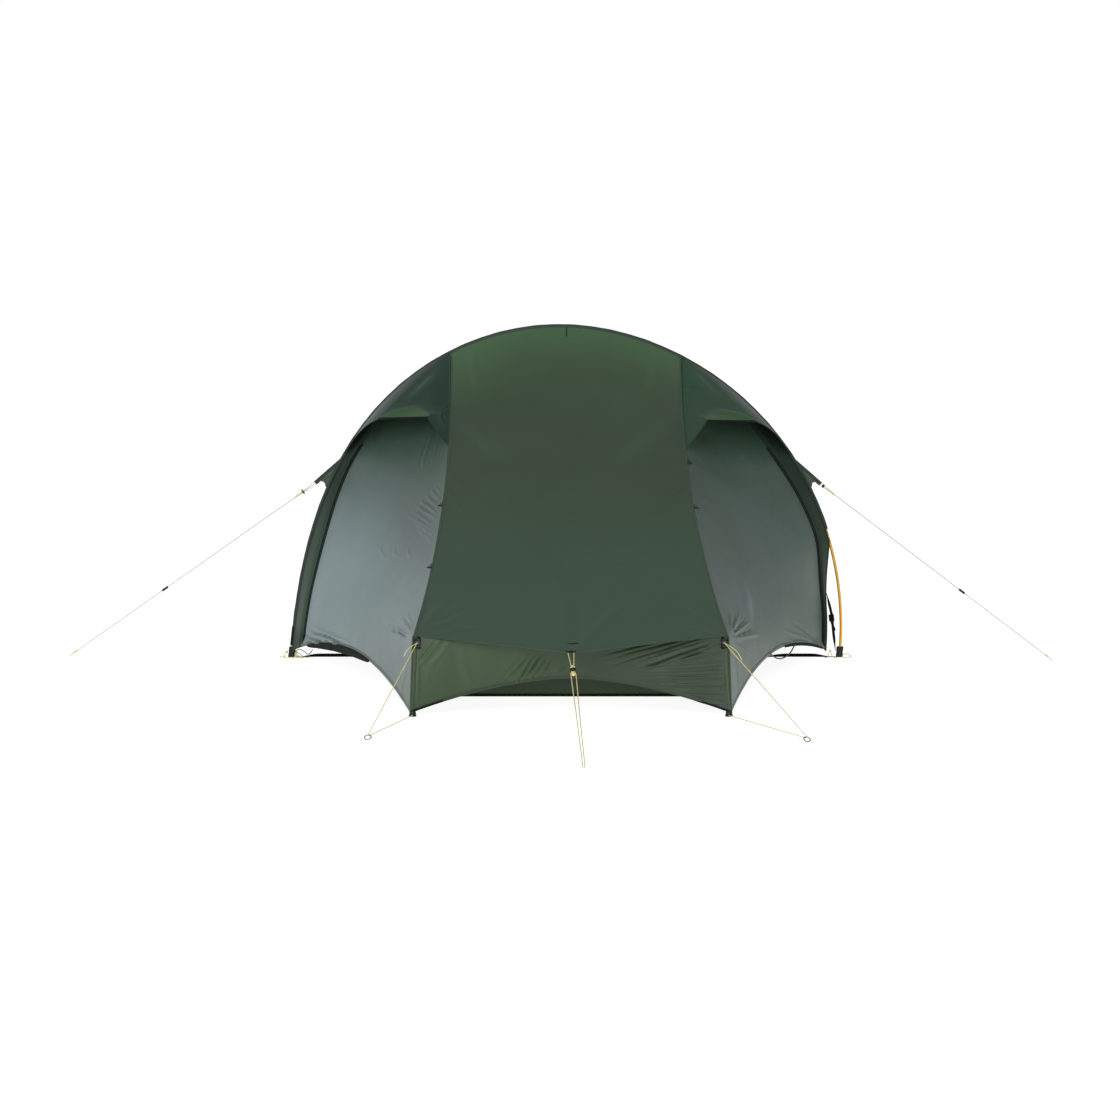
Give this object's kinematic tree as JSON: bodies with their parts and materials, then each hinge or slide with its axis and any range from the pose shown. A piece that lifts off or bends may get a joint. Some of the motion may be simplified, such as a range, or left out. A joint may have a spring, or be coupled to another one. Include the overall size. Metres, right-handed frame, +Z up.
{
  "type": "two-person tent",
  "caption": "Low hoop tent pitched on a single bent arch pole, with a sloping ridged fly, hooded vents, side doors, hanging inner tent, corner struts and guy lines.",
  "frame": {"origin": "on the ground under the middle of the arch pole, the bottom centre of the pitched tent without its guy lines", "axes": "+Z up, X along the plane of the arch pole from the left foot to the right foot, Y along the sleeping length, with the doors in the -Y half"},
  "size_m": [3.087, 4.405, 1.0487],
  "materials": {
    "forest_ripstop": "coated ripstop nylon, soft sheen",
    "silvered_ripstop": "coated ripstop nylon lit through from the far side",
    "gold_anodised_aluminium": "gold anodised tube",
    "elastic_cord": "woven cover over elastic",
    "black_plastic": "moulded, slightly glossy",
    "black_webbing": "woven webbing",
    "dark_groundsheet": "heavy coated nylon",
    "pale_inner_cloth": "light breathable nylon",
    "pale_yellow_cord": "braided cord",
    "polished_steel": "polished wire"
  },
  "bodies": {
    "tent": {"fly_roof_front": "forest_ripstop", "fly_roof_rear": "forest_ripstop", "pole_sleeve": "forest_ripstop", "door_frame_left": "forest_ripstop", "door_frame_right": "forest_ripstop", "vent_hood_left": "forest_ripstop", "vent_hood_right": "forest_ripstop", "end_wall_front": "forest_ripstop", "end_wall_rear": "forest_ripstop", "fly_side_rear_left": "silvered_ripstop", "fly_side_rear_right": "silvered_ripstop", "corner_strut_front_left": "black_plastic", "corner_strut_front_right": "black_plastic", "corner_strut_rear_left": "black_plastic", "corner_strut_rear_right": "black_plastic", "corner_fitting_front_left": "black_plastic", "corner_fitting_front_right": "black_plastic", "corner_fitting_rear_left": "black_plastic", "corner_fitting_rear_right": "black_plastic", "pole_section_1": "gold_anodised_aluminium", "pole_section_2": "gold_anodised_aluminium", "pole_section_3": "gold_anodised_aluminium", "pole_section_4": "gold_anodised_aluminium", "pole_section_5": "gold_anodised_aluminium", "pole_section_6": "gold_anodised_aluminium", "pole_section_7": "gold_anodised_aluminium", "pole_section_8": "gold_anodised_aluminium", "pole_shock_cord": "elastic_cord", "pole_cup_left": "black_plastic", "pole_cup_right": "black_plastic", "tension_strap": "black_webbing", "ladder_lock": "black_plastic", "foot_strap_left": "black_webbing", "foot_strap_right": "black_webbing", "guy_tab_left": "forest_ripstop", "guy_tab_right": "forest_ripstop", "inner_floor": "dark_groundsheet", "inner_canopy": "pale_inner_cloth", "inner_hanger": "black_webbing", "side_guy_left": "pale_yellow_cord", "side_guy_right": "pale_yellow_cord", "end_guy_front": "pale_yellow_cord", "end_guy_rear": "pale_yellow_cord", "corner_guy_front_left": "pale_yellow_cord", "corner_guy_front_right": "pale_yellow_cord", "corner_guy_rear_left": "pale_yellow_cord", "corner_guy_rear_right": "pale_yellow_cord", "corner_ring_front_left": "polished_steel", "corner_ring_front_right": "polished_steel", "corner_ring_rear_left": "polished_steel", "corner_ring_rear_right": "polished_steel"},
    "door_left": {"door_left": "silvered_ripstop"},
    "door_right": {"door_right": "silvered_ripstop"},
    "vent_brim_left": {"vent_brim_left": "forest_ripstop"},
    "vent_brim_right": {"vent_brim_right": "forest_ripstop"},
    "inner_door_left": {"inner_door_left": "pale_inner_cloth"},
    "inner_door_right": {"inner_door_right": "pale_inner_cloth"},
    "guy_slider_left": {"guy_slider_left": "black_plastic"},
    "guy_slider_right": {"guy_slider_right": "black_plastic"}
  },
  "joints": [
    {"name": "door_left_fold", "type": "hinge", "parent": "tent", "child": "door_left", "pos_m": [-0.35776, -0.42736, 0.68231], "axis": [0.0696, 0.7985, 0.598], "range_deg": [0, 75]},
    {"name": "door_right_fold", "type": "hinge", "parent": "tent", "child": "door_right", "pos_m": [0.35807, -0.42736, 0.67242], "axis": [0.0697, -0.8027, -0.5923], "range_deg": [0, 75]},
    {"name": "vent_brim_left_fold", "type": "hinge", "parent": "tent", "child": "vent_brim_left", "pos_m": [-0.40846, -0.32365, 0.79352], "axis": [0.6729, -0.7391, 0.0301], "range_deg": [0, 40]},
    {"name": "vent_brim_right_fold", "type": "hinge", "parent": "tent", "child": "vent_brim_right", "pos_m": [0.40912, -0.32365, 0.78244], "axis": [0.6816, 0.7314, -0.0225], "range_deg": [0, 40]},
    {"name": "inner_door_left_fold", "type": "hinge", "parent": "tent", "child": "inner_door_left", "pos_m": [-0.58459, -0.08, 0.1008], "axis": [-0.1821, 0.9833, 0], "range_deg": [0, 40]},
    {"name": "inner_door_right_fold", "type": "hinge", "parent": "tent", "child": "inner_door_right", "pos_m": [0.58459, -0.08, 0.1008], "axis": [-0.1821, -0.9833, 0], "range_deg": [0, 40]},
    {"name": "guy_slider_left_slide", "type": "slide", "parent": "tent", "child": "guy_slider_left", "axis": [-0.8191, 0, -0.5737], "range_m": [-0.2, 0.2]},
    {"name": "guy_slider_right_slide", "type": "slide", "parent": "tent", "child": "guy_slider_right", "axis": [0.7903, -0.1322, -0.5983], "range_m": [-0.2, 0.2]}
  ]
}
